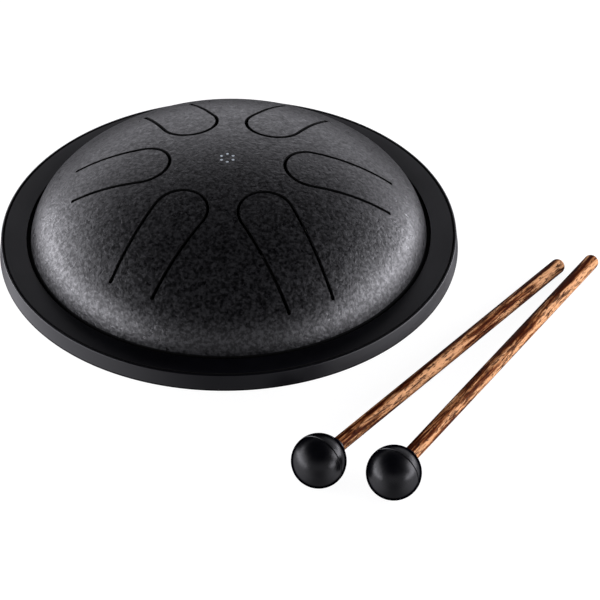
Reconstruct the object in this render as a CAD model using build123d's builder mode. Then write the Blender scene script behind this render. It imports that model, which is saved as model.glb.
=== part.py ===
"""Mini steel tongue drum, 180 mm across, with its two ball mallets.

The drum is two pressed steel shells joined flange to flange by an adhesive seal. A rubber channel ring
covers the joint. Six U-shaped slots in the top shell each free one tongue, and each tongue's length sets its
note. The bottom shell is a shallow pan with a round sound hole, and stands on four screwed rubber feet.

Millimetres, +Z up. The origin is the centre of the sound hole on the pan's underside, on the drum's axis.
The player sits on the -Y side. The mallets lie on the table beside the drum.
"""
import os
from math import asin, cos, degrees, hypot, radians, sin

from build123d import *

# Shells
SHEET = 1.2  # steel thickness
PAN_DEPTH = 20.0  # underside of the pan to the bottom of the rim ring
FLANGE_RADIUS = 87.0
FLANGE_BEND = 1.0  # bend between a shell's wall and its flange, on the hollow side
SEAL_THICKNESS = 0.3
SEAL_INNER_RADIUS = 80.0

# Dome: three tangent arcs, then a straight wall down to the flange bend
CROWN_RADIUS = 153.5
CROWN_END = 14.42  # slope in degrees where the crown arc ends
SHOULDER_RADIUS = 76.0
SHOULDER_END = 42.36  # slope in degrees where the shoulder arc ends
EDGE_RADIUS = 24.7
WALL_SLOPE = 77.66  # slope of the straight wall, in degrees from level
WALL_RISE = 0.66  # the straight wall starts this far above the rim ring

# Tongues
TONGUE_COUNT = 6
FIRST_TONGUE_ANGLE = -2.75
PATTERN_SHIFT = 0.85  # the slots were cut this far off centre, towards the player
HEAD_CENTRE = 33.3  # drum axis to the centre of a tongue's round head
HEAD_RADIUS = 10.83
ROOT_DISTANCE = 72.0  # where the half width below is measured
ROOT_HALF_WIDTH = 9.33
KERF = 1.2
PIERCE_RADIUS = 0.75  # the laser's start hole at each end of a slot
SHORTEST_SLOT_END = 53.2  # slot end of the highest note, from the drum axis
SLOT_STEP = 3.36  # each lower note's slots end this much further out
PITCH_ORDER = (3, 1, 0, 2, 4, 5)  # anticlockwise from +X: 0 is the highest note, 5 the lowest

# Rim ring
RING_RADIUS = 90.0
RING_FLARE = 0.8  # the outer wall leans out by this much at its foot
RING_HEIGHT = 7.0
RING_INNER_RADIUS = 79.8
RING_EDGE = 0.5
RING_LIP_EDGE = 0.25  # rounding of the two lips that face the shells
CREASE_INSET = 1.1  # moulding crease in the top face, from the outer edge
CREASE_WIDTH = 0.9
CREASE_DEPTH = 0.6
CHANNEL_CLEARANCE = 0.1

# Sound hole and feet
SOUND_HOLE_RADIUS = 22.0
FOOT_COUNT = 4
FOOT_CIRCLE_RADIUS = 44.0
FIRST_FOOT_ANGLE = 45.0
FOOT_HEIGHT = 6.0
FOOT_TOP_RADIUS = 8.0
FOOT_BOTTOM_RADIUS = 7.2
FOOT_EDGE = 0.8
RECESS_RADIUS = 3.6
RECESS_DEPTH = 3.4

# M3 fasteners
SCREW_RADIUS = 1.5
SCREW_HOLE_RADIUS = 1.7
SCREW_HEAD_RADIUS = 2.8
SCREW_HEAD_HEIGHT = 2.0
SCREW_HEAD_EDGE = 0.6
DRIVE_LENGTH = 3.2
DRIVE_WIDTH = 0.7
DRIVE_DEPTH = 1.1
WASHER_RADIUS = 3.5
WASHER_THICKNESS = 0.5
NUT_ACROSS_FLATS = 5.5
NUT_HEIGHT = 2.4
THREAD_CLEARANCE = 0.03
SCREW_END = 0.6  # thread showing past the nut

# Mallets
BALL_RADIUS = 10.5
STICK_RADIUS = 3.0
STICK_LENGTH = 163.3  # centre of the ball to the stick's butt
STICK_SOCKET = 3.0  # the stick reaches this far past the centre of the ball
BUTT_ROUND = 2.6
SOCKET_CLEARANCE = 0.02
COLLAR_RADIUS = 4.3  # small raised lip where the stick enters the ball
COLLAR_REACH = 10.9  # centre of the ball to the lip's face
SEAM_GROOVE_RADIUS = 0.35
MALLETS = {  # name: ball centre in X and Y, direction of the stick in degrees from +X
    "left": (34.7, -113.0, 52.7),
    "right": (62.7, -120.0, 58.86),
}

# Heights worked out from the sizes above
RING_BOTTOM = PAN_DEPTH
RING_TOP = RING_BOTTOM + RING_HEIGHT
SEAM = RING_BOTTOM + RING_HEIGHT / 2
TOP_FLANGE = SEAM + SEAL_THICKNESS / 2
BOTTOM_FLANGE = SEAM - SEAL_THICKNESS / 2
DOME_WALL_TOP = RING_TOP + WALL_RISE
TABLE = -FOOT_HEIGHT


def bend_drop(radius, slope):
    """Height taken by a bend of this radius that turns from level to this slope in degrees."""
    return radius * (1 - cos(radians(slope)))


def arc_fall(radius, start, end):
    """Height lost along an arc whose slope goes from start to end, in degrees."""
    return radius * (cos(radians(start)) - cos(radians(end)))


CROWN_TOP = (
    DOME_WALL_TOP
    + arc_fall(CROWN_RADIUS, 0, CROWN_END)
    + arc_fall(SHOULDER_RADIUS, CROWN_END, SHOULDER_END)
    + arc_fall(EDGE_RADIUS, SHOULDER_END, WALL_SLOPE)
)
WALL_FALL = DOME_WALL_TOP - (TOP_FLANGE + SHEET) - bend_drop(FLANGE_BEND, WALL_SLOPE)
WALL_LENGTH = WALL_FALL / sin(radians(WALL_SLOPE))

# The pan's wall mirrors the dome's wall about the seam, and its corner arc ends level at z = 0
PAN_WALL_END = 2 * SEAM - DOME_WALL_TOP
PAN_CORNER_RADIUS = PAN_WALL_END / (1 - cos(radians(WALL_SLOPE)))
DOME_WALL_RADIUS = (
    CROWN_RADIUS * sin(radians(CROWN_END))
    + SHOULDER_RADIUS * (sin(radians(SHOULDER_END)) - sin(radians(CROWN_END)))
    + EDGE_RADIUS * (sin(radians(WALL_SLOPE)) - sin(radians(SHOULDER_END)))
)
PAN_FLAT_RADIUS = DOME_WALL_RADIUS - PAN_CORNER_RADIUS * sin(radians(WALL_SLOPE))


def finish(piece, name):
    """Labels a finished piece and writes its STEP file."""
    piece.part.label = name
    export_step(piece.part, f"parts/{name}.step")


def dome_skin(inset):
    """Half of the top shell's section, axis to flange edge, inset from the outer skin."""
    crown = JernArc((0, CROWN_TOP - inset), (1, 0), CROWN_RADIUS - inset, -CROWN_END)
    shoulder = JernArc(crown @ 1, crown % 1, SHOULDER_RADIUS - inset, CROWN_END - SHOULDER_END)
    edge = JernArc(shoulder @ 1, shoulder % 1, EDGE_RADIUS - inset, SHOULDER_END - WALL_SLOPE)
    wall = Line(edge @ 1, edge @ 1 + (edge % 1) * WALL_LENGTH)
    bend = JernArc(wall @ 1, wall % 1, FLANGE_BEND + inset, WALL_SLOPE)
    flange = Line(bend @ 1, (FLANGE_RADIUS, (bend @ 1).Y))
    return crown @ 0, flange @ 1


def pan_skin(inset):
    """Half of the bottom shell's section, sound hole to flange edge, inset from the outer skin."""
    level = Line((SOUND_HOLE_RADIUS, inset), (PAN_FLAT_RADIUS, inset))
    corner = JernArc(level @ 1, (1, 0), PAN_CORNER_RADIUS - inset, WALL_SLOPE)
    wall = Line(corner @ 1, corner @ 1 + (corner % 1) * WALL_LENGTH)
    bend = JernArc(wall @ 1, wall % 1, FLANGE_BEND + inset, -WALL_SLOPE)
    flange = Line(bend @ 1, (FLANGE_RADIUS, (bend @ 1).Y))
    return level @ 0, flange @ 1


def slot_end(tongue):
    """Distance from the drum's axis at which this tongue's two slots end."""
    return SHORTEST_SLOT_END + SLOT_STEP * PITCH_ORDER[tongue]


# The sides of a tongue leave its round head on a tangent and close in towards the root.
ROOT_REACH = hypot(ROOT_DISTANCE - HEAD_CENTRE, ROOT_HALF_WIDTH)
SIDE_LEAN = degrees(asin(HEAD_RADIUS / ROOT_REACH) - asin(ROOT_HALF_WIDTH / ROOT_REACH))


def slot_path(end):
    """The middle line of one tongue's U-shaped cut, along +X, and its two ends."""
    tangent_x = HEAD_CENTRE + HEAD_RADIUS * sin(radians(SIDE_LEAN))
    tangent_y = HEAD_RADIUS * cos(radians(SIDE_LEAN))
    end_y = tangent_y - (end - tangent_x) * sin(radians(SIDE_LEAN)) / cos(radians(SIDE_LEAN))
    Line((end, end_y), (tangent_x, tangent_y))
    ThreePointArc((tangent_x, tangent_y), (HEAD_CENTRE - HEAD_RADIUS, 0), (tangent_x, -tangent_y))
    Line((tangent_x, -tangent_y), (end, -end_y))
    return (end, end_y), (end, -end_y)


def make_top_shell():
    with BuildPart() as top_shell:
        with BuildSketch(Plane.XZ):
            with BuildLine():
                outer_start, outer_end = dome_skin(0)
                inner_start, inner_end = dome_skin(SHEET)
                Line(outer_start, inner_start)
                Line(outer_end, inner_end)
            make_face()
        revolve(axis=Axis.Z)
        for tongue in range(TONGUE_COUNT):
            angle = FIRST_TONGUE_ANGLE + tongue * 360 / TONGUE_COUNT
            above = Plane((0, -PATTERN_SHIFT, CROWN_TOP + SHEET)).rotated((0, 0, angle))
            with BuildSketch(above):
                with BuildLine():
                    ends = slot_path(slot_end(tongue))
                trace(line_width=KERF)
                with Locations(*ends):
                    Circle(PIERCE_RADIUS)
            extrude(amount=-(CROWN_TOP + SHEET - DOME_WALL_TOP), mode=Mode.SUBTRACT)
    finish(top_shell, "top_shell")


def foot_places():
    """The points in plan where the feet are screwed on."""
    angles = [radians(FIRST_FOOT_ANGLE + 360 / FOOT_COUNT * number) for number in range(FOOT_COUNT)]
    return [(FOOT_CIRCLE_RADIUS * cos(angle), FOOT_CIRCLE_RADIUS * sin(angle)) for angle in angles]


def make_bottom_shell():
    with BuildPart() as bottom_shell:
        with BuildSketch(Plane.XZ):
            with BuildLine():
                outer_start, outer_end = pan_skin(0)
                inner_start, inner_end = pan_skin(SHEET)
                Line(outer_start, inner_start)
                Line(outer_end, inner_end)
            make_face()
        revolve(axis=Axis.Z)
        with BuildSketch(Plane.XY):
            with Locations(*foot_places()):
                Circle(SCREW_HOLE_RADIUS)
        extrude(amount=SHEET, mode=Mode.SUBTRACT)
    finish(bottom_shell, "bottom_shell")


def make_flange_seal():
    with BuildPart() as flange_seal:
        with BuildSketch(Plane.XY.offset(BOTTOM_FLANGE)):
            Circle(FLANGE_RADIUS)
            Circle(SEAL_INNER_RADIUS, mode=Mode.SUBTRACT)
        extrude(amount=SEAL_THICKNESS)
    finish(flange_seal, "flange_seal")


def make_rim_ring():
    crease_radius = RING_RADIUS - CREASE_INSET
    channel_radius = FLANGE_RADIUS + CHANNEL_CLEARANCE
    with BuildPart() as rim_ring:
        with BuildSketch(Plane.XZ) as section:
            with BuildLine():
                Polyline(
                    (RING_INNER_RADIUS, RING_TOP),
                    (RING_RADIUS, RING_TOP),
                    (RING_RADIUS + RING_FLARE, RING_BOTTOM),
                    (RING_INNER_RADIUS, RING_BOTTOM),
                    close=True,
                )
            make_face()
            lips = section.vertices().group_by(Axis.X)[0]
            fillet(section.vertices() - lips, RING_EDGE)
            fillet(section.vertices().group_by(Axis.X)[0], RING_LIP_EDGE)
            with BuildLine():
                Polyline(
                    (crease_radius - CREASE_WIDTH / 2, RING_TOP),
                    (crease_radius + CREASE_WIDTH / 2, RING_TOP),
                    (crease_radius, RING_TOP - CREASE_DEPTH),
                    close=True,
                )
            make_face(mode=Mode.SUBTRACT)
            with BuildLine():
                Polyline(
                    (SEAL_INNER_RADIUS - SHEET, BOTTOM_FLANGE - SHEET),
                    (channel_radius, BOTTOM_FLANGE - SHEET),
                    (channel_radius, TOP_FLANGE + SHEET),
                    (SEAL_INNER_RADIUS - SHEET, TOP_FLANGE + SHEET),
                    close=True,
                )
            make_face(mode=Mode.SUBTRACT)
        revolve(axis=Axis.Z)
    finish(rim_ring, "rim_ring")


def make_feet():
    """Four tapered rubber bumpers, each with a recess that keeps the screw head off the table."""
    for number, (x, y) in enumerate(foot_places(), start=1):
        with BuildPart() as foot:
            with BuildSketch(Plane((x, y, TABLE))):
                Circle(FOOT_BOTTOM_RADIUS)
            with BuildSketch(Plane((x, y, 0))):
                Circle(FOOT_TOP_RADIUS)
            loft()
            fillet(foot.edges().group_by(Axis.Z)[0], FOOT_EDGE)
            with BuildSketch(Plane((x, y, TABLE))):
                Circle(RECESS_RADIUS)
            extrude(amount=RECESS_DEPTH, mode=Mode.SUBTRACT)
            with BuildSketch(Plane((x, y, TABLE))):
                Circle(SCREW_HOLE_RADIUS)
            extrude(amount=FOOT_HEIGHT, mode=Mode.SUBTRACT)
        finish(foot, f"foot_{number}")


def make_foot_screws():
    """Four pan-head M3 screws, pushed up through the feet and the pan."""
    bearing = TABLE + RECESS_DEPTH
    shank = SHEET + WASHER_THICKNESS + NUT_HEIGHT + SCREW_END - bearing
    with BuildPart() as foot_screws:
        with BuildSketch(Plane.XY.offset(bearing - SCREW_HEAD_HEIGHT)):
            with Locations(*foot_places()):
                Circle(SCREW_HEAD_RADIUS)
        extrude(amount=SCREW_HEAD_HEIGHT)
        fillet(foot_screws.edges().group_by(Axis.Z)[0], SCREW_HEAD_EDGE)
        with BuildSketch(Plane.XY.offset(bearing)):
            with Locations(*foot_places()):
                Circle(SCREW_RADIUS)
        extrude(amount=shank)
        with BuildSketch(Plane.XY.offset(bearing - SCREW_HEAD_HEIGHT)):
            with Locations(*foot_places()):
                Rectangle(DRIVE_LENGTH, DRIVE_WIDTH)
                Rectangle(DRIVE_WIDTH, DRIVE_LENGTH)
        extrude(amount=DRIVE_DEPTH, mode=Mode.SUBTRACT)
    finish(foot_screws, "foot_screws")


def make_foot_washers():
    with BuildPart() as foot_washers:
        with BuildSketch(Plane.XY.offset(SHEET)):
            with Locations(*foot_places()):
                Circle(WASHER_RADIUS)
                Circle(SCREW_HOLE_RADIUS, mode=Mode.SUBTRACT)
        extrude(amount=WASHER_THICKNESS)
    finish(foot_washers, "foot_washers")


def make_foot_nuts():
    with BuildPart() as foot_nuts:
        with BuildSketch(Plane.XY.offset(SHEET + WASHER_THICKNESS)):
            with Locations(*foot_places()):
                RegularPolygon(NUT_ACROSS_FLATS / 2, 6, major_radius=False)
                Circle(SCREW_RADIUS + THREAD_CLEARANCE, mode=Mode.SUBTRACT)
        extrude(amount=NUT_HEIGHT)
    finish(foot_nuts, "foot_nuts")


def mallet_frame(name):
    """Axis of a mallet from the ball's centre to the butt, and the plane of its half section.

    The ball and the butt both touch the table, so the stick slopes down a little towards the butt.
    """
    x, y, direction = MALLETS[name]
    slope = asin((BALL_RADIUS - STICK_RADIUS) / (STICK_LENGTH - BUTT_ROUND))
    turn = radians(direction)
    centre = Vector(x, y, TABLE + BALL_RADIUS)
    along = Vector(cos(turn) * cos(slope), sin(turn) * cos(slope), -sin(slope))
    side = Vector(sin(turn), -cos(turn), 0)
    return Axis(centre, along), Plane(centre, x_dir=side, z_dir=side.cross(along))


def make_stick(name):
    """Turned wooden stick with a rounded butt, seated in the ball."""
    axis, section = mallet_frame(name)
    with BuildPart() as stick:
        with BuildSketch(section):
            with BuildLine():
                side = Line((STICK_RADIUS, -STICK_SOCKET), (STICK_RADIUS, STICK_LENGTH - BUTT_ROUND))
                butt = JernArc(side @ 1, (0, 1), BUTT_ROUND, 90)
                Polyline(butt @ 1, (0, STICK_LENGTH), (0, -STICK_SOCKET), side @ 0)
            make_face()
        revolve(axis=axis)
    finish(stick, f"stick_{name}")


def make_head(name):
    """Moulded rubber ball with a parting groove round its equator and a lip where the stick enters."""
    axis, section = mallet_frame(name)
    bore_radius = STICK_RADIUS + SOCKET_CLEARANCE
    with BuildPart() as head:
        with BuildSketch(section):
            Circle(BALL_RADIUS)
            Rectangle(2 * COLLAR_RADIUS, COLLAR_REACH, align=(Align.CENTER, Align.MIN))
            with Locations((BALL_RADIUS, 0)):
                Circle(SEAM_GROOVE_RADIUS, mode=Mode.SUBTRACT)
            with Locations((0, -STICK_SOCKET)):
                bore_size = (2 * bore_radius, 2 * BALL_RADIUS)
                Rectangle(*bore_size, align=(Align.CENTER, Align.MIN), mode=Mode.SUBTRACT)
            with Locations((-BALL_RADIUS, 0)):
                Rectangle(2 * BALL_RADIUS, 4 * BALL_RADIUS, mode=Mode.SUBTRACT)
        revolve(axis=axis)
    finish(head, f"head_{name}")


os.makedirs("parts", exist_ok=True)
make_top_shell()
make_bottom_shell()
make_flange_seal()
make_rim_ring()
make_feet()
make_foot_screws()
make_foot_washers()
make_foot_nuts()
for mallet in MALLETS:
    make_stick(mallet)
    make_head(mallet)
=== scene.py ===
"""Looks of the mini steel tongue drum and its two mallets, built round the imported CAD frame.

Every shape is in metres in the CAD's own frame: +Z up, origin at the centre of the sound hole on the
pan's underside, player on the -Y side. Each piece but the flange seal repeats its CAD node's shape with
the fine edges, chamfers and curvature that the plain node lacks. The seal keeps its CAD mesh.
"""
from math import acos, asin, atan2, ceil, cos, hypot, pi, radians, sin, sqrt, tan

import bmesh
import bpy
from mathutils import Euler, Matrix, Vector


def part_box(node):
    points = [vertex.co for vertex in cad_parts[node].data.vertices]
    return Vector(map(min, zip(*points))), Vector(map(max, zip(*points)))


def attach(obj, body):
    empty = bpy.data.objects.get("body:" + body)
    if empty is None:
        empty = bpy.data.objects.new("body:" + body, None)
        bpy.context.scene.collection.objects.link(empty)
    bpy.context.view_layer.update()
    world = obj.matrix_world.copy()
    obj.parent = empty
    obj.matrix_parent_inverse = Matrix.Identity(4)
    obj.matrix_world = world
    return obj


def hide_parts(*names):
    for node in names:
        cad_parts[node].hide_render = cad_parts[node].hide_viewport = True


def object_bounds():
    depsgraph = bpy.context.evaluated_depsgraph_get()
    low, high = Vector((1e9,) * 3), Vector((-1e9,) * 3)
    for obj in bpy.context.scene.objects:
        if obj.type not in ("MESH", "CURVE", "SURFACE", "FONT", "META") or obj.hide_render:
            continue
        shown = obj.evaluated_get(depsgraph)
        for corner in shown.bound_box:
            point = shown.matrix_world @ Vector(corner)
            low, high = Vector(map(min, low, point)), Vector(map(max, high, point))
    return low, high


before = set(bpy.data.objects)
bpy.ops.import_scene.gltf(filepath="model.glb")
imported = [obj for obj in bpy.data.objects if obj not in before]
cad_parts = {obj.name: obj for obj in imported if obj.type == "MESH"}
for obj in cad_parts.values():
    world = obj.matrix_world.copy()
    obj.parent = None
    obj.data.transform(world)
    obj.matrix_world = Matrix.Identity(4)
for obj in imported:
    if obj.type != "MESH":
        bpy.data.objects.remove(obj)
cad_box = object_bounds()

MM = 0.001

# Segments round each turned piece
SHELL_SEGMENTS, PAN_SEGMENTS, RING_SEGMENTS = 320, 256, 360
FOOT_SEGMENTS, SCREW_SEGMENTS, WASHER_SEGMENTS, NUT_SEGMENTS, DRILL_SEGMENTS = 72, 40, 48, 48, 32
BALL_SEGMENTS, STICK_SEGMENTS = 128, 64

# Shells, as in the CAD
SHEET = 1.2 * MM
CROWN_RADIUS, CROWN_END = 153.5 * MM, 14.42
SHOULDER_RADIUS, SHOULDER_END = 76.0 * MM, 42.36
EDGE_RADIUS, WALL_SLOPE = 24.7 * MM, 77.66
WALL_RISE = 0.66 * MM
FLANGE_BEND = 1.0 * MM
SEAL_THICKNESS = 0.3 * MM
SHEET_EDGE = 0.3 * MM  # rounding of a sheet's cut edge

# Tongues
TONGUE_COUNT = 6
FIRST_TONGUE_ANGLE = -2.75
PATTERN_SHIFT = 0.85 * MM
HEAD_CENTRE, HEAD_RADIUS = 33.3 * MM, 10.83 * MM
ROOT_DISTANCE, ROOT_HALF_WIDTH = 72.0 * MM, 9.33 * MM
KERF = 1.2 * MM
PIERCE_RADIUS = 0.75 * MM
SLOT_CHAMFER = 0.14 * MM
CUTTER_ABOVE, CUTTER_BELOW = 0.4 * MM, 2.4 * SHEET  # how far a slot's cutter passes the outer skin
SHORTEST_SLOT_END, SLOT_STEP = 53.2 * MM, 3.36 * MM
PITCH_ORDER = (3, 1, 0, 2, 4, 5)

# Rim ring
RING_INNER_RADIUS = 79.8 * MM
RING_RADIUS = 90.0 * MM
RING_FLARE = 0.8 * MM
RING_EDGE = 0.5 * MM
RING_LIP_EDGE = 0.25 * MM
CREASE_INSET, CREASE_WIDTH, CREASE_DEPTH = 1.1 * MM, 0.9 * MM, 0.6 * MM
RING_FOOT_LIP = 0.9 * MM
CHANNEL_CLEARANCE = 0.1 * MM
RING_FOOT_TRIM = 0.03 * MM  # the foot is this much smaller than its full flare
CHANNEL_EDGE = 0.2 * MM
GAP_SHADE = 0.3 * MM  # the dome's coat is painted shade, dull near-black, from this far below the ring's top face

# Sound hole, feet and their fasteners
SOUND_HOLE_RADIUS = 22.0 * MM
SCREW_HOLE_RADIUS = 1.7 * MM
FOOT_TOP_RADIUS, FOOT_BOTTOM_RADIUS, FOOT_EDGE = 8.0 * MM, 7.2 * MM, 0.8 * MM
RECESS_RADIUS, RECESS_DEPTH = 3.6 * MM, 3.4 * MM
SCREW_RADIUS, SCREW_HEAD_RADIUS, SCREW_HEAD_HEIGHT = 1.5 * MM, 2.8 * MM, 2.0 * MM
DRIVE_LENGTH, DRIVE_WIDTH, DRIVE_DEPTH = 3.2 * MM, 0.7 * MM, 1.1 * MM
WASHER_RADIUS, WASHER_THICKNESS = 3.5 * MM, 0.5 * MM
NUT_ACROSS_FLATS, NUT_HEIGHT, THREAD_CLEARANCE = 5.5 * MM, 2.4 * MM, 0.03 * MM
SCREW_END = 0.6 * MM
SCREW_HEAD_ROUND, SCREW_HEAD_EDGE = 0.9 * MM, 0.12 * MM
THREAD_PITCH, THREAD_DEPTH, THREAD_RUNOUT = 0.5 * MM, 0.16 * MM, 0.3 * MM
SCREW_TIP_CHAMFER = 0.35 * MM
NUT_BORE_CHAMFER, NUT_CORNER_ANGLE = 0.25 * MM, 30

# Mallets
BALL_RADIUS, STICK_RADIUS = 10.5 * MM, 3.0 * MM
STICK_LENGTH, STICK_SOCKET, BUTT_ROUND = 163.28 * MM, 3.0 * MM, 2.6 * MM
COLLAR_RADIUS, COLLAR_REACH, SOCKET_CLEARANCE = 4.3 * MM, 10.9 * MM, 0.02 * MM
SEAM_GROOVE_RADIUS, COLLAR_FILLET = 0.35 * MM, 0.5 * MM
BALL_FRONT_STEPS, BALL_GROOVE_STEPS, BALL_REAR_STEPS = 48, 8, 34
STICK_DIRECTION = {"left": 52.7, "right": 58.86}  # degrees from +X

# Camera and floor
CAMERA_PLACE = Vector((28.0, -1154.7, 905.0)) * MM
CAMERA_ELEVATION = 38.33
CAMERA_ROLL = -0.33
CAMERA_LENS = 220.0
SENSOR = 36.0

# Finish
# the first black is the coat's pits and also the floor's painted shadow under the drum
PIT_AND_SHADOW_BLACK, BLACK_PEBBLE = (0.0002, 0.0002, 0.0004, 1), (0.0090, 0.0090, 0.0098, 1)
PALE_INK = (0.42, 0.47, 0.50, 1)
DOT_CIRCLE_RADIUS, DOT_RADIUS = 2.6 * MM, 0.55 * MM

INNER_SIDE = Vector((-0.61, 0.79, 0))  # across a stick, in its own frame: towards the side painted with shade, away from its outer side
OUTER_SHADE = {"left": -0.16, "right": -0.13}  # painted shade: how much darker a stick's colour gets along its outer side

# Studio, in multiples of a white surface's brightness
STRIP_LIGHT, LEFT_BOX, RIGHT_BOX, OVERHEAD_LIGHT = 9.6, 3.1, 6.8, 0.3
STUDIO_TINT = (0.985, 0.975, 1.05)
FLOOR_GLOW, FLOOR_TONE, FLOOR_IN_REFLECTIONS = 0.92, 0.2, (0.45, 2.1)
UNDER_DRUM = (50 * MM, 57 * MM)  # painted shadow under the drum: the floor's glow and colour fade in from the first radius to the second
BACKDROP, ROOM, ROOM_FRONT = 1.62, 0.01, 0.5

# The world's fades, each between two values of a direction's X, Y or Z
BACKDROP_FADE = (0.28, 0.70)  # Z: from the backdrop up to the dim room
ROOM_FRONT_FADE = (-0.5, 0.35)  # Y: from the camera's side, which is dimmer, to the back
HORIZON_FADE = (-0.04, 0.0)  # Z
FLOOR_ASIDE_FADE = (0.15, 0.95)  # X: the floor in reflections is brighter at the sides
FLOOR_REAR_FADE, FLOOR_REAR = (0.10, 0.60), 0.2  # Y, less at the sides: it dims towards the back
REAR_SIDE_SHARE = -0.7

# Lights, in metres
LIGHT_DISTANCE = 1.0
STRIP_HEIGHT, STRIP_SIZE = 0.135, (2.0, 0.27)
BOX_HEIGHT, BOX_TALL, LEFT_BOX_WIDTH, RIGHT_BOX_WIDTH = 0.475, 0.41, 1.3, 0.6
OVERHEAD_HEIGHT, OVERHEAD_SIZE = 1.6, (2.4, 2.4)
FLOOR_HALF_SIZE = 6.0

# Heights read from the frame
RING_BOTTOM, RING_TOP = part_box("rim_ring")[0].z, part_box("rim_ring")[1].z
CROWN_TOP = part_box("top_shell")[1].z
TOP_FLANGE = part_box("top_shell")[0].z
BOTTOM_FLANGE = TOP_FLANGE - SEAL_THICKNESS
FLANGE_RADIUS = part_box("top_shell")[1].x
TABLE = cad_box[0][2]
RING_HEIGHT = RING_TOP - RING_BOTTOM
SEAM = (RING_BOTTOM + RING_TOP) / 2
DOME_WALL_TOP = RING_TOP + WALL_RISE
WALL_FALL = DOME_WALL_TOP - (TOP_FLANGE + SHEET) - FLANGE_BEND * (1 - cos(radians(WALL_SLOPE)))


# ---------------------------------------------------------------- mesh helpers


class Pen:
    """Draws a section as points (distance from axis, height): straight runs and tangent arcs."""

    def __init__(self, start, heading):
        self.points = [start]
        self.heading = radians(heading)

    def line(self, length, steps=1):
        x, z = self.points[-1]
        for step in range(1, steps + 1):
            part = length * step / steps
            self.points.append((x + part * cos(self.heading), z + part * sin(self.heading)))
        return self

    def turn(self, radius, angle, steps):
        """An arc that turns left by this angle in degrees, or right if it is negative."""
        side = 1 if angle > 0 else -1
        x, z = self.points[-1]
        cx, cz = x - side * radius * sin(self.heading), z + side * radius * cos(self.heading)
        for step in range(1, steps + 1):
            at = self.heading + radians(angle) * step / steps
            self.points.append((cx + side * radius * sin(at), cz - side * radius * cos(at)))
        self.heading += radians(angle)
        return self


def rounded(corners, steps):
    """A closed outline from (x, z, radius) corners, each rounded by its radius."""
    outline = []
    for i, (x, z, radius) in enumerate(corners):
        if radius <= 0:
            outline.append((x, z))
            continue
        here = Vector((x, z))
        before = (Vector(corners[i - 1][:2]) - here).normalized()
        after = (Vector(corners[(i + 1) % len(corners)][:2]) - here).normalized()
        half = acos(max(-1, min(1, before.dot(after)))) / 2
        centre = here + (before + after).normalized() * (radius / sin(half))
        first = here + before * (radius / tan(half)) - centre
        last = here + after * (radius / tan(half)) - centre
        turn = atan2(first.x * last.y - first.y * last.x, first.dot(last))
        for step in range(steps + 1):
            at = turn * step / steps
            outline.append(
                (
                    centre.x + first.x * cos(at) - first.y * sin(at),
                    centre.y + first.x * sin(at) + first.y * cos(at),
                )
            )
    return outline


def new_object(name, bm):
    """Turns a bmesh into a linked object with outward normals."""
    bmesh.ops.remove_doubles(bm, verts=bm.verts, dist=1e-7)
    bmesh.ops.recalc_face_normals(bm, faces=bm.faces)
    mesh = bpy.data.meshes.new(name)
    bm.to_mesh(mesh)
    bm.free()
    made = bpy.data.objects.new(name, mesh)
    bpy.context.scene.collection.objects.link(made)
    return made


def lathe(name, section, segments, place=(0, 0)):
    """Turns a closed section about the vertical line through place. Points on the axis are shared."""
    bm = bmesh.new()
    rings = []
    for radius, z in section:
        if radius < 1e-9:
            rings.append([bm.verts.new((place[0], place[1], z))] * segments)
        else:
            turn = [2 * pi * k / segments for k in range(segments)]
            rings.append(
                [bm.verts.new((place[0] + radius * cos(a), place[1] + radius * sin(a), z)) for a in turn]
            )
    for ring, following in zip(rings, rings[1:] + rings[:1]):
        for k in range(segments):
            corners = [ring[k], ring[(k + 1) % segments], following[(k + 1) % segments], following[k]]
            corners = list(dict.fromkeys(corners))
            if len(corners) > 2:
                bm.faces.new(corners)
    return new_object(name, bm)


def apply_boolean(target, cutters, operation="DIFFERENCE"):
    """Cuts the target with each cutter exactly, and removes the cutters."""
    for cutter in cutters:
        step = target.modifiers.new("cut", "BOOLEAN")
        step.solver = "EXACT"
        step.operation = operation
        step.object = cutter
        step.material_mode = "INDEX"
    bpy.context.view_layer.update()
    shaped = bpy.data.meshes.new_from_object(target.evaluated_get(bpy.context.evaluated_depsgraph_get()))
    target.modifiers.clear()
    target.data = shaped
    for cutter in cutters:
        bpy.data.objects.remove(cutter)


def smooth(piece, angle=30):
    """Smooth shading that breaks at edges sharper than the angle in degrees."""
    piece.data.shade_smooth()
    piece.data.set_sharp_from_angle(angle=radians(angle))


def fit(piece, body, slot, *nodes):
    """Gives a finished piece its body and hides the CAD nodes it stands for; the slot is not used."""
    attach(piece, body)
    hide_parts(*nodes)
    return piece


# ---------------------------------------------------------------- the dome and its tongues


def flange_edge(outer, inner):
    """A flange's rounded edge, from the end of the shell's outer skin to the end of its inner skin."""
    return rounded(
        [
            (outer[-1][0], outer[-1][1], 0),
            (FLANGE_RADIUS, outer[-1][1], SHEET_EDGE),
            (FLANGE_RADIUS, inner[-1][1], SHEET_EDGE),
            (inner[-1][0], inner[-1][1], 0),
        ],
        3,
    )


def dome_skin(inset):
    """The dome's section from the axis to the end of the flange bend, inset from the outer skin."""
    pen = Pen((0, CROWN_TOP - inset), 0)
    pen.turn(CROWN_RADIUS - inset, -CROWN_END, 26)
    pen.turn(SHOULDER_RADIUS - inset, CROWN_END - SHOULDER_END, 26)
    pen.turn(EDGE_RADIUS - inset, SHOULDER_END - WALL_SLOPE, 20)
    pen.line(WALL_FALL / sin(radians(WALL_SLOPE)), 3)
    pen.turn(FLANGE_BEND + inset, WALL_SLOPE, 8)
    return pen.points


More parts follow.
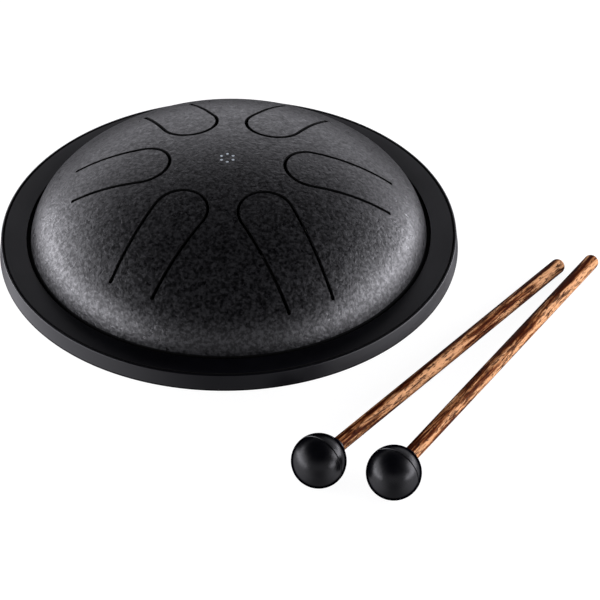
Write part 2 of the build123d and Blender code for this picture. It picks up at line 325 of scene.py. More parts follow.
def dome_height(x, y):
    """Height of the dome's outer skin above a point in plan."""
    r = hypot(x, y)
    first = radians(CROWN_END)
    second = radians(SHOULDER_END)
    crown_z = CROWN_TOP - CROWN_RADIUS
    if r <= CROWN_RADIUS * sin(first):
        return crown_z + sqrt(CROWN_RADIUS**2 - r**2)
    shoulder_r = (CROWN_RADIUS - SHOULDER_RADIUS) * sin(first)
    shoulder_z = crown_z + (CROWN_RADIUS - SHOULDER_RADIUS) * cos(first)
    if r <= shoulder_r + SHOULDER_RADIUS * sin(second):
        return shoulder_z + sqrt(SHOULDER_RADIUS**2 - (r - shoulder_r) ** 2)
    edge_r = shoulder_r + (SHOULDER_RADIUS - EDGE_RADIUS) * sin(second)
    edge_z = shoulder_z + (SHOULDER_RADIUS - EDGE_RADIUS) * cos(second)
    return edge_z + sqrt(max(0, EDGE_RADIUS**2 - (r - edge_r) ** 2))


def slot_line(end, spacing=0.5 * MM):
    """Middle line of a tongue's U-shaped cut along +X, end to end, as (point, left-hand normal)."""
    run = ROOT_DISTANCE - HEAD_CENTRE
    reach = hypot(run, ROOT_HALF_WIDTH)
    lean = asin(HEAD_RADIUS / reach) - asin(ROOT_HALF_WIDTH / reach)
    touch = Vector((HEAD_CENTRE + HEAD_RADIUS * sin(lean), HEAD_RADIUS * cos(lean)))
    tip = Vector((end, touch.y - (end - touch.x) * tan(lean)))
    count = ceil((tip - touch).length / spacing)
    way = (touch - tip).normalized()
    left = Vector((-way.y, way.x))
    side = [(tip.lerp(touch, k / count), left) for k in range(count)]
    head = []
    sweep = 2 * pi - 2 * (pi / 2 - lean)
    count = ceil(HEAD_RADIUS * sweep / spacing)
    for k in range(count + 1):
        at = pi / 2 - lean + sweep * k / count
        out = Vector((cos(at), sin(at)))
        head.append((Vector((HEAD_CENTRE, 0)) + out * HEAD_RADIUS, -out))
    back = [(Vector((p.x, -p.y)), Vector((n.x, -n.y))) for p, n in reversed(side)]
    return side + head + back


def slot_outline(line, half_width, end_radius, end_steps=14):
    """Left side, far end, right side and near end of a slot with round ends, as lists of plan points."""
    inner = line[2:-2]
    left = [p + n * half_width for p, n in inner]
    right = [p - n * half_width for p, n in reversed(inner)]
    ends = []
    for point, normal, sign in ((line[-1][0], line[-1][1], 1), (line[0][0], line[0][1], -1)):
        ahead = Vector((normal.y, -normal.x)) * sign
        aside = normal * sign
        start = pi - asin(half_width / end_radius)
        ends.append(
            [
                point + ahead * (end_radius * cos(a)) + aside * (end_radius * sin(a))
                for a in (start - 2 * start * k / end_steps for k in range(end_steps + 1))
            ]
        )
    return left, ends[0], right, ends[1]


def slot_cutter(end, angle):
    """A closed solid that follows the dome: flared for the chamfer above, the kerf's width below."""
    line = slot_line(end)
    levels = (
        (SLOT_CHAMFER + CUTTER_ABOVE, CUTTER_ABOVE),
        (0.0, -SLOT_CHAMFER),
        (0.0, -CUTTER_BELOW),
    )
    turn = Matrix.Rotation(radians(angle), 2)
    bm = bmesh.new()
    loops = []
    for widen, rise in levels:
        parts = slot_outline(line, KERF / 2 + widen, PIERCE_RADIUS + widen)
        loop = []
        for part in parts:
            for p in part:
                x, y = turn @ p + Vector((0, -PATTERN_SHIFT))
                loop.append(bm.verts.new((x, y, dome_height(x, y) + rise)))
        loops.append(loop)
        sizes = [len(part) for part in parts]
    for upper, lower in zip(loops, loops[1:]):
        for k in range(len(upper)):
            following = (k + 1) % len(upper)
            wall = bm.faces.new([upper[k], upper[following], lower[following], lower[k]])
            # the slot's walls and chamfer take the second material: painted shade, near-black
            wall.material_index = 1
    side, end_count = sizes[0], sizes[1]
    half = (end_count + 1) // 2
    for loop in (loops[0], loops[-1]):
        left = loop[:side]
        far = loop[side : side + end_count]
        right = loop[side + end_count : 2 * side + end_count][::-1]
        near = loop[2 * side + end_count :]
        left_edge = near[half - 1 :] + left + far[:half]
        right_edge = near[:half][::-1] + right + far[half - 1 :][::-1]
        for k in range(len(left_edge) - 1):
            corners = list(
                dict.fromkeys([left_edge[k], left_edge[k + 1], right_edge[k + 1], right_edge[k]])
            )
            if len(corners) > 2:
                bm.faces.new(corners)
    cutter = new_object("slot_cutter", bm)
    paint(cutter, coat, painted_shade)
    return cutter


def make_top_shell():
    outer, inner = dome_skin(0), dome_skin(SHEET)
    edge = flange_edge(outer, inner)
    shell = lathe("top_shell_skin", outer[:-1] + edge + inner[-2::-1], SHELL_SEGMENTS)
    paint(shell, coat, painted_shade)
    cutters = [
        slot_cutter(
            SHORTEST_SLOT_END + SLOT_STEP * PITCH_ORDER[number],
            FIRST_TONGUE_ANGLE + 360 / TONGUE_COUNT * number,
        )
        for number in range(TONGUE_COUNT)
    ]
    apply_boolean(shell, cutters)
    # painted shade: the dome's wall down in the ring's gap is painted near-black
    for face in shell.data.polygons:
        if face.center.z < RING_TOP - GAP_SHADE:
            face.material_index = 1
    smooth(shell)
    return fit(shell, "drum", "shell_coat", "top_shell")


# ---------------------------------------------------------------- pan, ring, feet and fasteners


def make_bottom_shell():
    wall_end = 2 * SEAM - DOME_WALL_TOP
    corner = wall_end / (1 - cos(radians(WALL_SLOPE)))
    wall_radius = (
        CROWN_RADIUS * sin(radians(CROWN_END))
        + SHOULDER_RADIUS * (sin(radians(SHOULDER_END)) - sin(radians(CROWN_END)))
        + EDGE_RADIUS * (sin(radians(WALL_SLOPE)) - sin(radians(SHOULDER_END)))
    )
    flat_radius = wall_radius - corner * sin(radians(WALL_SLOPE))

    def skin(inset):
        pen = Pen((flat_radius, inset), 0)
        pen.turn(corner - inset, WALL_SLOPE, 24)
        pen.line(WALL_FALL / sin(radians(WALL_SLOPE)), 3)
        pen.turn(FLANGE_BEND + inset, -WALL_SLOPE, 8)
        return pen.points

    outer, inner = skin(0), skin(SHEET)
    edge = flange_edge(outer, inner)
    hole = rounded(
        [
            (flat_radius, SHEET, 0),
            (SOUND_HOLE_RADIUS, SHEET, SHEET_EDGE),
            (SOUND_HOLE_RADIUS, 0, SHEET_EDGE),
            (flat_radius, 0, 0),
        ],
        4,
    )
    section = hole[1:-1] + outer[:-1] + edge + inner[-2::-1]
    pan = lathe("bottom_shell_skin", section, PAN_SEGMENTS)
    paint(pan, coat, painted_shade)
    drills = []
    for x, y in foot_places():
        rod = [(0, -SHEET), (SCREW_HOLE_RADIUS, -SHEET), (SCREW_HOLE_RADIUS, 2 * SHEET), (0, 2 * SHEET)]
        drills.append(lathe("drill", rod, DRILL_SEGMENTS, (x, y)))
    apply_boolean(pan, drills)
    for face in pan.data.polygons:
        face.material_index = 1 if face.center.xy.length < SOUND_HOLE_RADIUS + SHEET_EDGE else 0
    smooth(pan)
    return fit(pan, "drum", "shell_coat", "bottom_shell")


def foot_places():
    """Centres of the feet in plan, in the order of their node names."""
    boxes = [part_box(f"foot_{number}") for number in range(1, 5)]
    return [((low.x + high.x) / 2, (low.y + high.y) / 2) for low, high in boxes]


def make_rim_ring():
    foot = RING_RADIUS + RING_FLARE - RING_FOOT_TRIM
    crease = RING_RADIUS - CREASE_INSET
    channel = FLANGE_RADIUS + CHANNEL_CLEARANCE
    section = rounded(
        [
            (RING_INNER_RADIUS, RING_BOTTOM, RING_LIP_EDGE),
            (foot, RING_BOTTOM, RING_EDGE),
            (foot - RING_FLARE * RING_FOOT_LIP / RING_HEIGHT, RING_BOTTOM + RING_FOOT_LIP, 0),
            (RING_RADIUS, RING_TOP, RING_EDGE),
            (crease + CREASE_WIDTH / 2, RING_TOP, 0),
            (crease, RING_TOP - CREASE_DEPTH, 0.1 * MM),
            (crease - CREASE_WIDTH / 2, RING_TOP, 0),
            (RING_INNER_RADIUS, RING_TOP, RING_LIP_EDGE),
            (RING_INNER_RADIUS, TOP_FLANGE + SHEET, CHANNEL_EDGE),
            (channel, TOP_FLANGE + SHEET, CHANNEL_EDGE),
            (channel, BOTTOM_FLANGE - SHEET, CHANNEL_EDGE),
            (RING_INNER_RADIUS, BOTTOM_FLANGE - SHEET, CHANNEL_EDGE),
        ],
        6,
    )
    ring = lathe("rim_ring_moulding", section, RING_SEGMENTS)
    paint(ring, ring_rubber, painted_shade)
    # painted shade: the crease and the foot lip are painted near-black, a painted dark line along the
    # ring's bottom edge
    for face in ring.data.polygons:
        radius = face.center.xy.length
        in_crease = abs(radius - crease) < CREASE_WIDTH / 2 and face.center.z > RING_TOP - CREASE_DEPTH
        in_crease = in_crease and face.normal.z < 0.99
        in_foot = radius > crease and face.center.z < RING_BOTTOM + RING_FOOT_LIP
        face.material_index = 1 if in_crease or in_foot else 0
    smooth(ring, 40)
    return fit(ring, "drum", "ring_rubber", "rim_ring")


def make_foot(number, x, y):
    slope = (FOOT_TOP_RADIUS - FOOT_BOTTOM_RADIUS) / -TABLE
    section = rounded(
        [
            (SCREW_HOLE_RADIUS, TABLE + RECESS_DEPTH, 0.1 * MM),
            (RECESS_RADIUS, TABLE + RECESS_DEPTH, 0.3 * MM),
            (RECESS_RADIUS, TABLE, 0.4 * MM),
            (FOOT_BOTTOM_RADIUS, TABLE, FOOT_EDGE),
            (FOOT_TOP_RADIUS - slope * 0.1 * MM, -0.1 * MM, 0.05 * MM),
            (FOOT_TOP_RADIUS - 0.15 * MM, 0, 0),
            (SCREW_HOLE_RADIUS, 0, 0.1 * MM),
        ],
        6,
    )
    foot = lathe(f"foot_{number}_bumper", section, FOOT_SEGMENTS, (x, y))
    smooth(foot)
    return fit(foot, "drum", "foot_rubber", f"foot_{number}")


def joined(name, pieces):
    """One object that holds several separate solids."""
    bm = bmesh.new()
    for piece in pieces:
        bm.from_mesh(piece.data)
        bpy.data.objects.remove(piece)
    return new_object(name, bm)


def block(centre, size):
    """A closed box, used as a cutter."""
    bm = bmesh.new()
    bmesh.ops.create_cube(bm, size=1.0, matrix=Matrix.Translation(centre) @ Matrix.Diagonal((*size, 1)))
    return new_object("block", bm)


def make_screw(x, y):
    """Pan-head screw with a cross drive and a threaded shank."""
    bearing = TABLE + RECESS_DEPTH
    low = bearing - SCREW_HEAD_HEIGHT
    end = SHEET + WASHER_THICKNESS + NUT_HEIGHT + SCREW_END
    crest = SCREW_RADIUS
    pen = Pen((0, low), 0)
    pen.line(SCREW_HEAD_RADIUS - SCREW_HEAD_ROUND, 3)
    pen.turn(SCREW_HEAD_ROUND, 90, 8)
    pen.line(bearing - pen.points[-1][1] - SCREW_HEAD_EDGE)
    section = pen.points + [(SCREW_HEAD_RADIUS - SCREW_HEAD_EDGE, bearing), (crest, bearing)]
    z = SHEET + WASHER_THICKNESS
    section.append((crest, z))
    while z + THREAD_PITCH < end - THREAD_RUNOUT:
        section += [(crest - THREAD_DEPTH, z + THREAD_PITCH / 2), (crest, z + THREAD_PITCH)]
        z += THREAD_PITCH
    section += [(crest - SCREW_TIP_CHAMFER, end), (0, end)]
    screw = lathe("screw", section, SCREW_SEGMENTS, (x, y))
    slots = [
        block((x, y, low), (DRIVE_LENGTH, DRIVE_WIDTH, 2 * DRIVE_DEPTH)),
        block((x, y, low), (DRIVE_WIDTH, DRIVE_LENGTH, 2 * DRIVE_DEPTH)),
    ]
    apply_boolean(screw, slots)
    return screw


def make_washer(x, y):
    low, high, edge = SHEET, SHEET + WASHER_THICKNESS, 0.12 * MM
    section = rounded(
        [
            (SCREW_HOLE_RADIUS, low, edge),
            (WASHER_RADIUS, low, edge),
            (WASHER_RADIUS, high, edge),
            (SCREW_HOLE_RADIUS, high, edge),
        ],
        3,
    )
    return lathe("washer", section, WASHER_SEGMENTS, (x, y))


def make_nut(x, y):
    """Hexagon nut with its corners turned down on both faces."""
    low = SHEET + WASHER_THICKNESS
    high = low + NUT_HEIGHT
    corner = NUT_ACROSS_FLATS / sqrt(3)
    bore = SCREW_RADIUS + THREAD_CLEARANCE
    turned = NUT_ACROSS_FLATS / 2 - 0.1 * MM
    rise = (corner - turned) * tan(radians(NUT_CORNER_ANGLE))
    section = [
        (bore + NUT_BORE_CHAMFER, low),
        (turned, low),
        (corner + 0.1 * MM, low + rise),
        (corner + 0.1 * MM, high - rise),
        (turned, high),
        (bore + NUT_BORE_CHAMFER, high),
        (bore, high - NUT_BORE_CHAMFER),
        (bore, low + NUT_BORE_CHAMFER),
    ]
    nut = lathe("nut", section, NUT_SEGMENTS, (x, y))
    bm = bmesh.new()
    turns = [(radians(60 * k), k) for k in range(6)]
    bottom = [bm.verts.new((x + corner * cos(a), y + corner * sin(a), low - MM)) for a, _ in turns]
    top = [bm.verts.new((x + corner * cos(a), y + corner * sin(a), high + MM)) for a, _ in turns]
    bm.faces.new(bottom)
    bm.faces.new(top)
    for _, k in turns:
        bm.faces.new([bottom[k], bottom[(k + 1) % 6], top[(k + 1) % 6], top[k]])
    apply_boolean(nut, [new_object("hexagon", bm)], "INTERSECT")
    return nut


def make_fasteners():
    made = []
    makers = {"foot_screws": make_screw, "foot_washers": make_washer, "foot_nuts": make_nut}
    for name, make in makers.items():
        group = joined(f"{name}_set", [make(x, y) for x, y in foot_places()])
        smooth(group)
        made.append(fit(group, "drum", "fastener_steel", name))
    return made


# ---------------------------------------------------------------- mallets


def mallet_place(side):
    """Matrix that stands the mallet's own +Z along its stick, with the ball's centre at its origin."""
    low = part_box(f"head_{side}")[0]
    centre = low + Vector((BALL_RADIUS, BALL_RADIUS, BALL_RADIUS))
    slope = asin((BALL_RADIUS - STICK_RADIUS) / (STICK_LENGTH - BUTT_ROUND))
    turn = Matrix.Rotation(radians(STICK_DIRECTION[side]), 4, "Z")
    tilt = Matrix.Rotation(pi / 2 + slope, 4, "Y")
    return Matrix.Translation(centre) @ turn @ tilt


def make_head(side):
    """Moulded rubber ball: parting groove round the middle, and a soft lip where the stick enters."""
    bore = STICK_RADIUS + SOCKET_CLEARANCE
    groove = 2 * asin(SEAM_GROOVE_RADIUS / (2 * BALL_RADIUS))
    lip = asin((COLLAR_RADIUS + COLLAR_FILLET) / BALL_RADIUS)
    lip_foot = (BALL_RADIUS * sin(lip), BALL_RADIUS * cos(lip))
    section = [(0, -BALL_RADIUS)]
    front = [pi - k * (pi / 2 - groove) / BALL_FRONT_STEPS for k in range(1, BALL_FRONT_STEPS + 1)]
    section += [(BALL_RADIUS * sin(a), BALL_RADIUS * cos(a)) for a in front]
    dip = [-1 + 2 * k / BALL_GROOVE_STEPS for k in range(1, BALL_GROOVE_STEPS)]
    section += [
        (BALL_RADIUS - SEAM_GROOVE_RADIUS * sqrt(1 - t * t), SEAM_GROOVE_RADIUS * t) for t in dip
    ]
    rear_sweep = pi / 2 - groove - lip
    rear = [pi / 2 - groove - k * rear_sweep / BALL_REAR_STEPS for k in range(BALL_REAR_STEPS + 1)]
    section += [(BALL_RADIUS * sin(a), BALL_RADIUS * cos(a)) for a in rear]
    neck = rounded(
        [
            (lip_foot[0], lip_foot[1], 0),
            (COLLAR_RADIUS, lip_foot[1] + 0.25 * MM, COLLAR_FILLET),
            (COLLAR_RADIUS, COLLAR_REACH, 0.45 * MM),
            (bore, COLLAR_REACH, 0.15 * MM),
            (bore, -STICK_SOCKET, 0),
            (0, -STICK_SOCKET, 0),
        ],
        6,
    )
    head = lathe(f"head_{side}_ball", section + neck[1:], BALL_SEGMENTS)
    head.data.transform(mallet_place(side))
    smooth(head, 40)
    return fit(head, f"mallet_{side}", "head_rubber", f"head_{side}")


def make_stick(side):
    pen = Pen((0, -STICK_SOCKET), 0)
    pen.line(STICK_RADIUS)
    pen.heading = pi / 2
    pen.line(STICK_LENGTH - BUTT_ROUND + STICK_SOCKET, 60)
    pen.turn(BUTT_ROUND, 90, 12)
    stick = lathe(f"stick_{side}_dowel", pen.points + [(0, STICK_LENGTH)], STICK_SEGMENTS)
    stick.data.transform(mallet_place(side))
    smooth(stick)
    return fit(stick, f"mallet_{side}", "stick_wood", f"stick_{side}")


# ---------------------------------------------------------------- materials


class Nodes:
    """Short calls that add and join shader nodes of one material."""

    def __init__(self, name):
        self.material = bpy.data.materials.new(name)
        self.material.use_nodes = True
        self.tree = self.material.node_tree
        self.shader = next(n for n in self.tree.nodes if n.type == "BSDF_PRINCIPLED")
        self.place = self.add("ShaderNodeTexCoord").outputs["Object"]

    def add(self, kind, **settings):
        node = self.tree.nodes.new(kind)
        for key, value in settings.items():
            setattr(node, key, value)
        return node

    def put(self, socket, value):
        if isinstance(value, bpy.types.NodeSocket):
            self.tree.links.new(value, socket)
        else:
            socket.default_value = value

    def shade(self, **inputs):
        for key, value in inputs.items():
            self.put(self.shader.inputs[key.replace("_", " ")], value)

    def noise(self, scale, detail=2.0, roughness=0.5, place=None, distortion=0.0):
        node = self.add("ShaderNodeTexNoise")
        self.put(node.inputs["Vector"], place or self.place)
        self.put(node.inputs["Scale"], scale)
        self.put(node.inputs["Detail"], detail)
        self.put(node.inputs["Roughness"], roughness)
        self.put(node.inputs["Distortion"], distortion)
        return node.outputs["Fac"]

    def math(self, operation, *values, third=0.0):
        node = self.add("ShaderNodeMath", operation=operation)
        for socket, value in zip(node.inputs, (*values, 0.0)):
            self.put(socket, value)
        self.put(node.inputs[2], third)
        return node.outputs[0]

    def scaled(self, value, low, high, to_low, to_high):
        node = self.add("ShaderNodeMapRange", clamp=True)
        keys = ("Value", "From Min", "From Max", "To Min", "To Max")
        for key, number in zip(keys, (value, low, high, to_low, to_high)):
            self.put(node.inputs[key], number)
        return node.outputs["Result"]

    def ramp(self, value, *stops):
        node = self.add("ShaderNodeValToRGB")
        elements = node.color_ramp.elements
        while len(elements) < len(stops):
            elements.new(0.5)
        for element, (position, colour) in zip(elements, stops):
            element.position = position
            element.color = (*colour, 1)
        self.put(node.inputs["Fac"], value)
        return node.outputs["Color"]

    def mix(self, factor, a, b):
        node = self.add("ShaderNodeMix", data_type="RGBA")
        self.put(node.inputs["Factor"], factor)
        self.put(node.inputs["A"], a)
        self.put(node.inputs["B"], b)
        return node.outputs["Result"]

    def bump(self, height, distance, strength=1.0):
        node = self.add("ShaderNodeBump")
        self.put(node.inputs["Height"], height)
        self.put(node.inputs["Distance"], distance)
        self.put(node.inputs["Strength"], strength)
        return node.outputs["Normal"]

    def stretched(self, x, y, z, shift):
        node = self.add("ShaderNodeMapping")
        self.put(node.inputs["Vector"], self.place)
        self.put(node.inputs["Scale"], (x, y, z))
        self.put(node.inputs["Location"], (shift, -shift, 2 * shift))
        return node.outputs["Vector"]


def centre_dots(n):
    """1 inside a small printed ring of six dots round the dome's centre, else 0."""
    parts = n.add("ShaderNodeSeparateXYZ")
    n.put(parts.inputs["Vector"], n.place)
    x, y = parts.outputs["X"], parts.outputs["Y"]
    turn = n.math("ARCTAN2", y, x)
    step = 2 * pi / TONGUE_COUNT
    fold = n.math("SUBTRACT", n.math("WRAP", turn, 0.0, third=step), step / 2)
    radius = n.math("SQRT", n.math("ADD", n.math("MULTIPLY", x, x), n.math("MULTIPLY", y, y)))
    along = n.math("SUBTRACT", n.math("MULTIPLY", radius, n.math("COSINE", fold)), DOT_CIRCLE_RADIUS)
    across = n.math("MULTIPLY", radius, n.math("SINE", fold))
    squares = n.math("ADD", n.math("MULTIPLY", along, along), n.math("MULTIPLY", across, across))
    away = n.math("SQRT", squares)
    above = n.math("GREATER_THAN", parts.outputs["Z"], CROWN_TOP - 0.5 * SHEET)
    return n.math("MULTIPLY", n.scaled(away, 0.9 * DOT_RADIUS, 1.1 * DOT_RADIUS, 0.85, 0.0), above)


def coat_material():
    """Black wrinkle powder coat: fine glossy pebbles with dull pits between them."""
    n = Nodes("powder_coat")
    grain = n.noise(720, 3, 0.62)
    wrinkle = n.noise(450, 3, 0.62, distortion=0.6)
    height = n.math("ADD", n.math("MULTIPLY", wrinkle, 0.6), n.math("MULTIPLY", grain, 0.4))
    tone = n.scaled(grain, 0.42, 0.60, 0.0, 1.0)
    dullness = n.scaled(wrinkle, 0.34, 0.66, 0.0, 1.0)
    dots = centre_dots(n)
    n.shade(
        Base_Color=n.mix(dots, n.mix(tone, PIT_AND_SHADOW_BLACK, BLACK_PEBBLE), PALE_INK),
        Specular_IOR_Level=n.scaled(tone, 0, 1, 0.29, 0.53),
        Roughness=n.scaled(dullness, 0, 1, 0.27, 0.47),
        Normal=n.bump(height, 0.27 * MM, 1.0),
    )
    return n.material


def ring_material():
    """Smooth matte moulded rubber with the faintest flow marks."""
    n = Nodes("ring_rubber")
    fine = n.noise(2500, 2, 0.5)
    flow = n.noise(45, 4, 0.6)
    marks = n.scaled(flow, 0.35, 0.65, 0, 1)
    n.shade(
        Base_Color=n.mix(marks, (0.0003, 0.0003, 0.0009, 1), (0.0008, 0.0008, 0.0017, 1)),
        Roughness=n.scaled(flow, 0.3, 0.7, 0.29, 0.36),
        Specular_IOR_Level=0.26,
        Normal=n.bump(fine, 0.02 * MM, 0.4),
    )
    return n.material


def foot_material():
    n = Nodes("foot_rubber")
    fine = n.noise(1800, 3, 0.6)
    base = n.mix(fine, (0.010, 0.010, 0.011, 1), (0.024, 0.024, 0.025, 1))
    n.shade(
        Base_Color=base,
        Roughness=n.scaled(fine, 0.3, 0.7, 0.6, 0.75),
        Normal=n.bump(fine, 0.04 * MM, 0.6),
    )
    return n.material


def steel_material():
    """Bright zinc plate with a faint grain and a touch of blue and yellow passivation."""
    n = Nodes("zinc_plate")
    grain = n.noise(3000, 3, 0.6)
    tint = n.noise(260, 2, 0.5)
    base = n.ramp(
        tint,
        (0.35, (0.50, 0.51, 0.55)),
        (0.50, (0.57, 0.57, 0.57)),
        (0.65, (0.60, 0.56, 0.49)),
    )
    n.shade(
        Base_Color=base,
        Metallic=1.0,
        Roughness=n.scaled(grain, 0.3, 0.7, 0.26, 0.4),
        Normal=n.bump(grain, 0.01 * MM, 0.5),
    )
    return n.material


def seal_material():
    n = Nodes("seal_adhesive")
    fine = n.noise(900, 2, 0.5)
    base = n.mix(fine, (0.02, 0.02, 0.02, 1), (0.05, 0.05, 0.05, 1))
    n.shade(
        Base_Color=base,
        Roughness=n.scaled(fine, 0.3, 0.7, 0.5, 0.7),
        Normal=n.bump(fine, 0.03 * MM, 0.5),
    )
    return n.material


def head_material():
    """Black moulded rubber with a soft sheen."""
    n = Nodes("head_rubber")
    fine = n.noise(1500, 3, 0.6)
    smear = n.noise(120, 3, 0.6)
    facing = n.add("ShaderNodeLayerWeight").outputs["Facing"]
    n.shade(
        Base_Color=n.mix(smear, (0.0003, 0.0003, 0.0008, 1), (0.0009, 0.0009, 0.0018, 1)),
        Roughness=n.scaled(smear, 0.3, 0.7, 0.26, 0.36),
        Specular_IOR_Level=n.scaled(facing, 0.25, 0.62, 0.23, 0.0),
        Normal=n.bump(fine, 0.015 * MM, 0.5),
    )
    return n.material


def wood_material(side, seed):
    """Warm brown hardwood dowel: long grain, dark red streaks and short pores along the stick, with
    painted shade on the side turned from the lights and along the outer side.
    """
    n = Nodes(f"stick_wood_{side}")
    own_place, own_turn, _ = mallet_place(side).decompose()
    along = n.add("ShaderNodeMapping", vector_type="TEXTURE")
    n.put(along.inputs["Vector"], n.place)
    n.put(along.inputs["Location"], own_place)
    n.put(along.inputs["Rotation"], own_turn.to_euler())
    n.place = along.outputs["Vector"]
    broad = n.noise(1.0, 4, 0.6, n.stretched(420, 420, 26, 7.3 * seed), 0.5)
    streak = n.noise(1.0, 4, 0.65, n.stretched(700, 700, 100, 5.9 * seed), 0.4)
    pore = n.noise(1.0, 2, 0.5, n.stretched(1700, 1700, 420, 3.1 * seed))
    across = n.add("ShaderNodeVectorMath", operation="DOT_PRODUCT")
    n.put(across.inputs[0], n.place)
    across.inputs[1].default_value = INNER_SIDE / STICK_RADIUS
    # painted shade: darker towards INNER_SIDE, the side turned from the lights, and darker along the
    # outer side
    side_shade = n.scaled(across.outputs["Value"], -0.25, 0.6, 0.05, -0.12)
    edge_shade = n.scaled(across.outputs["Value"], -0.95, -0.6, OUTER_SHADE[side], 0.0)
    contrast = n.scaled(broad, 0.22, 0.78, 0.02, 0.98)
    base = n.ramp(
        n.math("ADD", n.math("ADD", contrast, side_shade), edge_shade),
        (0.33, (0.042, 0.007, 0.001)),
        (0.42, (0.115, 0.030, 0.008)),
        (0.50, (0.28, 0.115, 0.042)),
        (0.60, (0.58, 0.300, 0.145)),
    )
    base = n.mix(n.scaled(streak, 0.51, 0.62, 0.0, 0.9), base, (0.026, 0.004, 0.001, 1))
    pits = n.scaled(pore, 0.55, 0.66, 0.0, 0.85)
    base = n.mix(pits, base, (0.018, 0.005, 0.003, 1))
    height = n.math("SUBTRACT", n.math("MULTIPLY", streak, 0.4), n.math("MULTIPLY", pits, 0.5))
    n.shade(
        Base_Color=base,
        Roughness=n.scaled(streak, 0.3, 0.7, 0.42, 0.55),
        Specular_IOR_Level=0.015,
        Normal=n.bump(height, 0.06 * MM, 0.6),
    )
    return n.material


def painted_shade_material():
    """Dull near-black painted shade for the slots' cut walls and chamfers, the dome's wall down in the
    ring's gap, and the ring's crease and foot lip; the sound hole's cut edge gets the same black.
    """
    n = Nodes("painted_shade")
    grain = n.noise(1200, 2, 0.5)
    n.shade(
        Base_Color=n.mix(grain, (0.0010, 0.0010, 0.0010, 1), (0.0025, 0.0025, 0.0025, 1)),
        Specular_IOR_Level=0.08,
        Roughness=0.8,
        Normal=n.bump(grain, 0.05 * MM, 0.6),
    )
    return n.material


def paint(piece, *materials):
    """Gives a piece these materials; a face's material index picks one."""
    kept = [face.material_index for face in piece.data.polygons]
    piece.data.materials.clear()
    for material in materials:
        piece.data.materials.append(material)
    piece.data.polygons.foreach_set("material_index", [min(k, len(materials) - 1) for k in kept])


# ---------------------------------------------------------------- studio


def floor_material():
    """Pale and even without lighting the pieces; under the drum its colour and glow fade to black, a
    painted shadow where no light reaches.
    """
    n = Nodes("studio_floor")
    speck = n.noise(40, 3, 0.5)
    away = n.add("ShaderNodeVectorMath", operation="LENGTH")
    n.put(away.inputs[0], n.place)
    lit = n.scaled(away.outputs["Value"], *UNDER_DRUM, 0.0, 1.0)
    seen = n.add("ShaderNodeLightPath").outputs["Is Camera Ray"]
    pale = (FLOOR_TONE, FLOOR_TONE, FLOOR_TONE, 1)
    n.shade(
        Base_Color=n.mix(n.math("MULTIPLY", lit, n.scaled(speck, 0, 1, 0.95, 1)), PIT_AND_SHADOW_BLACK, pale),
        Roughness=0.9,
        Specular_IOR_Level=0.1,
        Emission_Color=(1, 1, 1, 1),
        Emission_Strength=n.math("MULTIPLY", n.math("MULTIPLY", lit, FLOOR_GLOW), seen),
    )
    return n.material


def make_floor():
    bm = bmesh.new()
    bmesh.ops.create_grid(bm, x_segments=1, y_segments=1, size=FLOOR_HALF_SIZE)
    floor = new_object("studio_floor", bm)
    floor.location.z = TABLE
    floor.visible_glossy = False
    paint(floor, floor_material())


def make_camera():
    lens = bpy.data.cameras.new("camera")
    lens.sensor_width = SENSOR
    lens.lens = CAMERA_LENS
    lens.clip_start = 0.01
    camera = bpy.data.objects.new("camera", lens)
    aim = Euler((radians(90 - CAMERA_ELEVATION), 0, 0)).to_matrix().to_4x4()
    roll = Matrix.Rotation(radians(CAMERA_ROLL), 4, "Z")
    camera.matrix_world = Matrix.Translation(CAMERA_PLACE) @ aim @ roll
    bpy.context.scene.collection.objects.link(camera)
    bpy.context.scene.camera = camera


def make_light(name, place, size, radiance, aim=(0, 0, 0.02), glossy=True):
    """A soft box of this size in metres, as bright as this many times white."""
    lamp = bpy.data.lights.new(name, "AREA")
    lamp.shape = "RECTANGLE"
    lamp.size, lamp.size_y = size
    lamp.energy = radiance * pi * size[0] * size[1]
    lamp.color = STUDIO_TINT
    light = bpy.data.objects.new(name, lamp)
    light.location = place
    light.rotation_euler = (Vector(aim) - Vector(place)).to_track_quat("-Z", "Y").to_euler()
    light.visible_glossy = glossy
    bpy.context.scene.collection.objects.link(light)


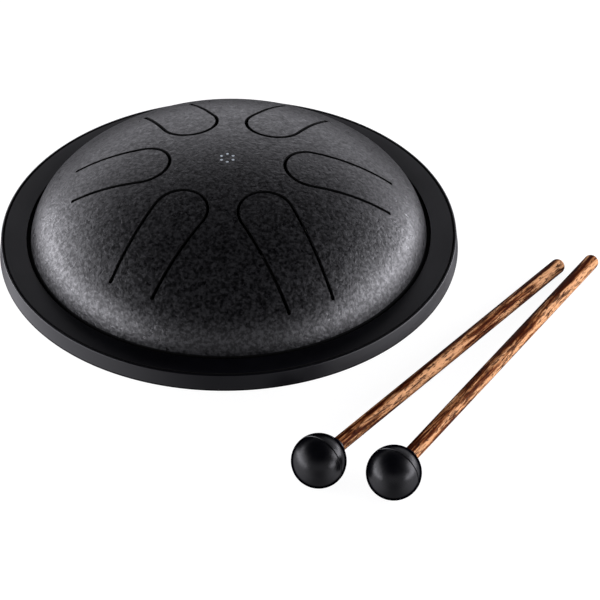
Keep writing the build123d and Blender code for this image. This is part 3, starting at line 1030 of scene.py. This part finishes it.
def make_world():
    """A white backdrop low down, a dim room overhead, and below the horizon the floor for reflections."""
    world = bpy.data.worlds.new("studio")
    world.use_nodes = True
    tree = world.node_tree
    sky = tree.nodes["Background"]

    def add(kind, **settings):
        node = tree.nodes.new(kind)
        for key, value in settings.items():
            setattr(node, key, value)
        return node

    def graded(value, low, high, to_low, to_high):
        node = add("ShaderNodeMapRange", clamp=True, interpolation_type="SMOOTHSTEP")
        tree.links.new(value, node.inputs["Value"])
        keys = ("From Min", "From Max", "To Min", "To Max")
        for key, number in zip(keys, (low, high, to_low, to_high)):
            node.inputs[key].default_value = number
        return node.outputs["Result"]

    def joined_by(operation, first, second):
        node = add("ShaderNodeMath", operation=operation)
        tree.links.new(first, node.inputs[0])
        tree.links.new(second, node.inputs[1])
        return node.outputs[0]

    direction = add("ShaderNodeTexCoord").outputs["Generated"]
    parts = add("ShaderNodeSeparateXYZ")
    tree.links.new(direction, parts.inputs["Vector"])
    low_down = graded(parts.outputs["Z"], *BACKDROP_FADE, BACKDROP, ROOM)
    behind = graded(parts.outputs["Y"], *ROOM_FRONT_FADE, ROOM_FRONT, 1.0)
    above = graded(parts.outputs["Z"], *HORIZON_FADE, 0.0, 1.0)
    aside = add("ShaderNodeMath", operation="ABSOLUTE")
    tree.links.new(parts.outputs["X"], aside.inputs[0])
    rearward = add("ShaderNodeMath", operation="MULTIPLY_ADD")
    tree.links.new(aside.outputs[0], rearward.inputs[0])
    rearward.inputs[1].default_value = REAR_SIDE_SHARE
    tree.links.new(parts.outputs["Y"], rearward.inputs[2])
    below = graded(parts.outputs["Z"], *HORIZON_FADE, 1.0, 0.0)
    at_side = graded(aside.outputs[0], *FLOOR_ASIDE_FADE, *FLOOR_IN_REFLECTIONS)
    at_rear = graded(rearward.outputs[0], *FLOOR_REAR_FADE, 1.0, FLOOR_REAR)
    upper = joined_by("MULTIPLY", joined_by("MULTIPLY", low_down, behind), above)
    lower = joined_by("MULTIPLY", joined_by("MULTIPLY", below, at_side), at_rear)
    tree.links.new(joined_by("ADD", upper, lower), sky.inputs["Strength"])
    sky.inputs["Color"].default_value = (*STUDIO_TINT, 1)
    bpy.context.scene.world = world


def make_studio():
    make_floor()
    strip_aim, box_aim = (0, 0, STRIP_HEIGHT), (0, 0, BOX_HEIGHT)
    for name, x, box_light, box_width in (
        ("left", -LIGHT_DISTANCE, LEFT_BOX, LEFT_BOX_WIDTH),
        ("right", LIGHT_DISTANCE, RIGHT_BOX, RIGHT_BOX_WIDTH),
    ):
        make_light(f"strip_{name}", (x, 0, STRIP_HEIGHT), STRIP_SIZE, STRIP_LIGHT, strip_aim)
        make_light(f"box_{name}", (x, 0, BOX_HEIGHT), (box_width, BOX_TALL), box_light, box_aim)
    make_light("overhead_fill", (0, 0, OVERHEAD_HEIGHT), OVERHEAD_SIZE, OVERHEAD_LIGHT, glossy=False)
    make_world()
    bpy.context.scene.view_settings.view_transform = "Standard"


# ---------------------------------------------------------------- build


make_camera()
coat = coat_material()
painted_shade = painted_shade_material()
make_top_shell()
make_bottom_shell()
ring_rubber = ring_material()
make_rim_ring()
paint(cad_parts["flange_seal"], seal_material())
foot_rubber = foot_material()
for number, (x, y) in enumerate(foot_places(), start=1):
    paint(make_foot(number, x, y), foot_rubber)
steel = steel_material()
for fasteners in make_fasteners():
    paint(fasteners, steel)
head_rubber = head_material()
for seed, side in enumerate(("left", "right"), start=1):
    paint(make_head(side), head_rubber)
    paint(make_stick(side), wood_material(side, seed))
make_studio()
